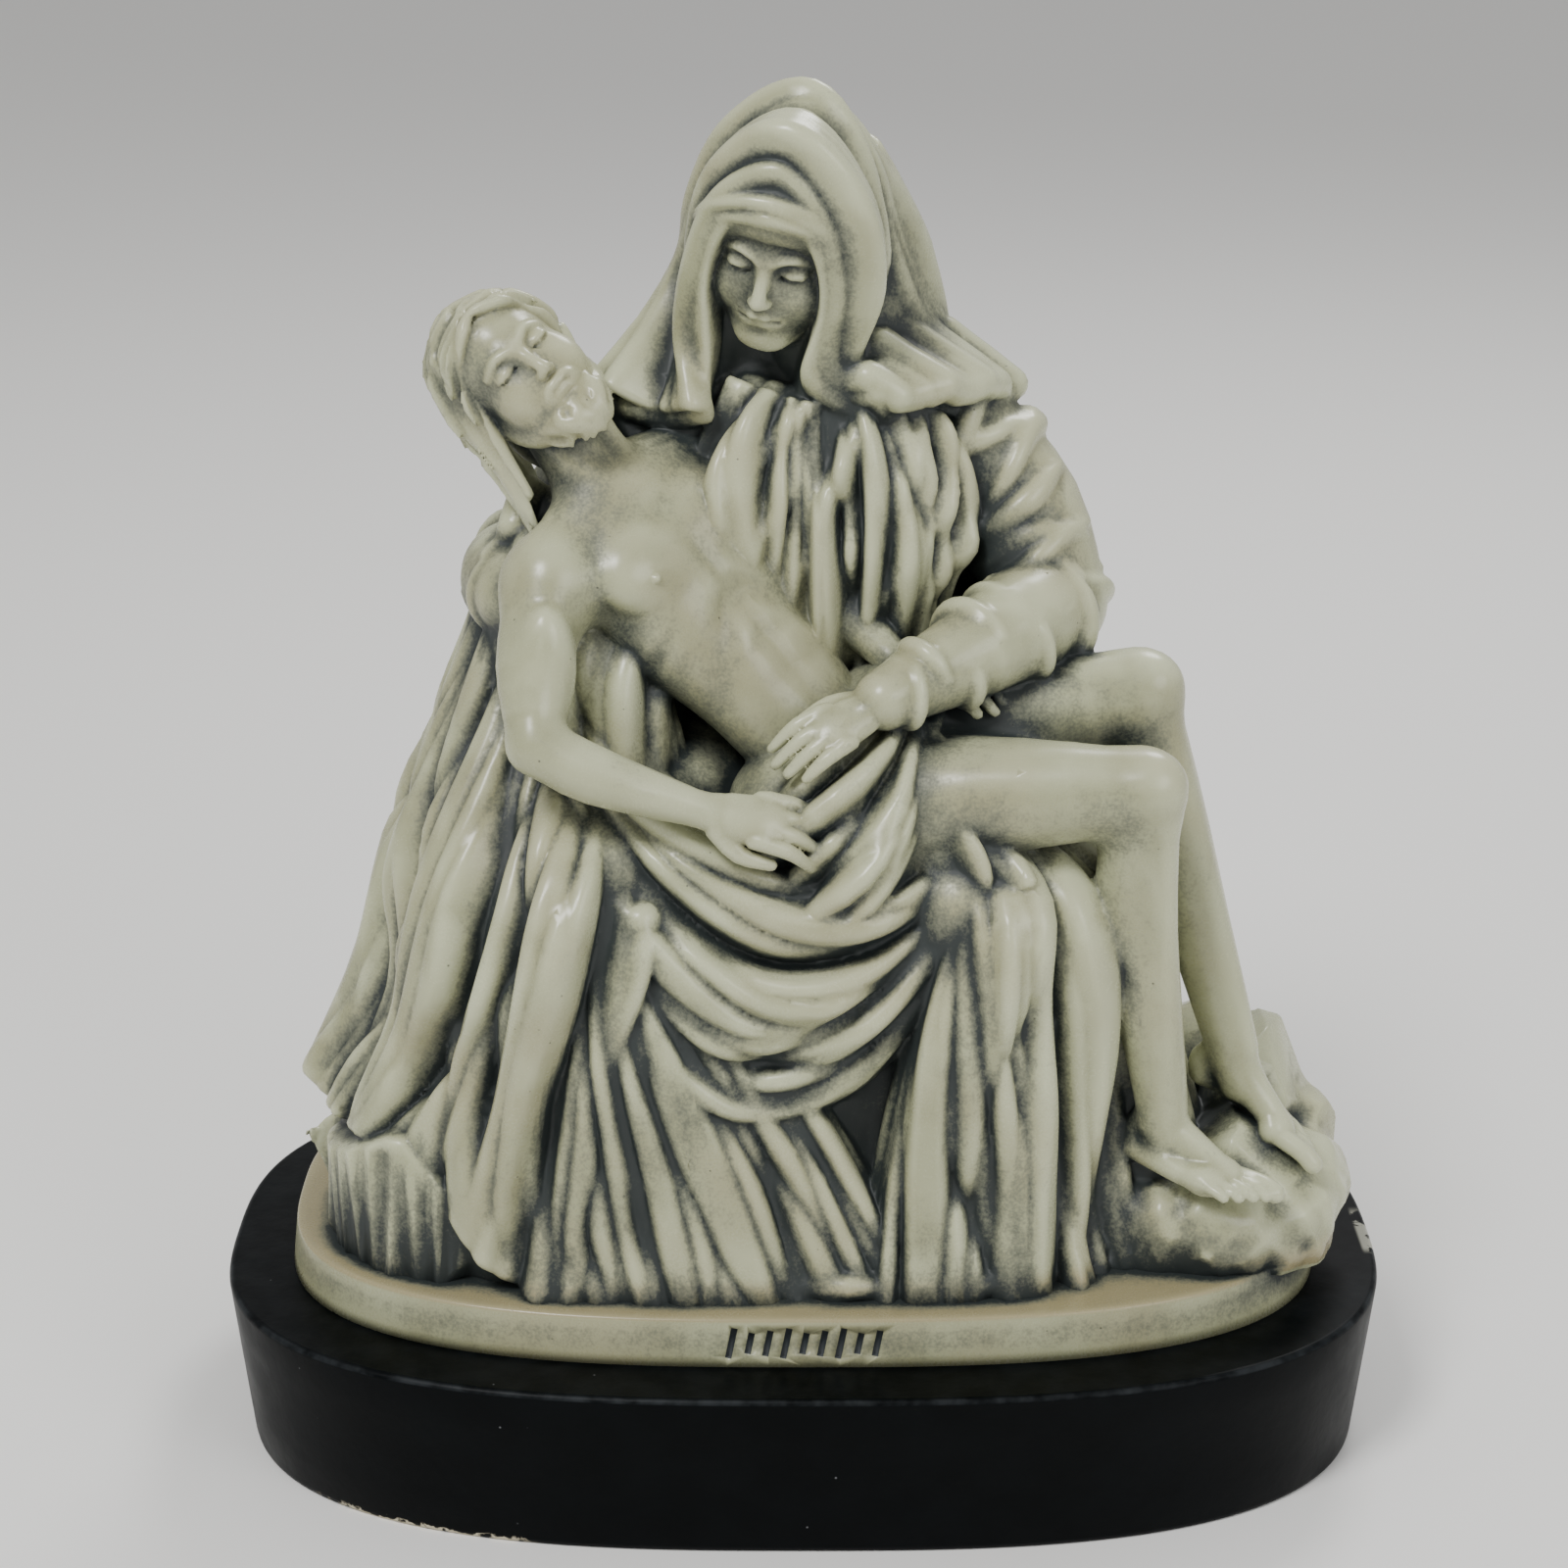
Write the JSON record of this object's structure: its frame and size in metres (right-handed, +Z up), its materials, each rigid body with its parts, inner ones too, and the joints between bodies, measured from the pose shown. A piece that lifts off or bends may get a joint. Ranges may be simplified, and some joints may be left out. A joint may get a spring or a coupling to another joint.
{
  "type": "pieta statue",
  "caption": "Resin pieta statuette: a seated veiled woman with a man's body across her lap, on an oval plinth and a black oval base.",
  "frame": {"origin": "centre of the underside of the black base", "axes": "+Z up, the figures' front towards -Y, +X to the viewer's right when facing the front"},
  "size_m": [0.2824, 0.1734, 0.3256],
  "materials": {
    "resin": "satin cream resin with a dark antiquing wash in the recesses",
    "black_base": "satin black paint"
  },
  "bodies": {
    "root": {"statue": "resin", "base": "black_base"}
  },
  "joints": []
}
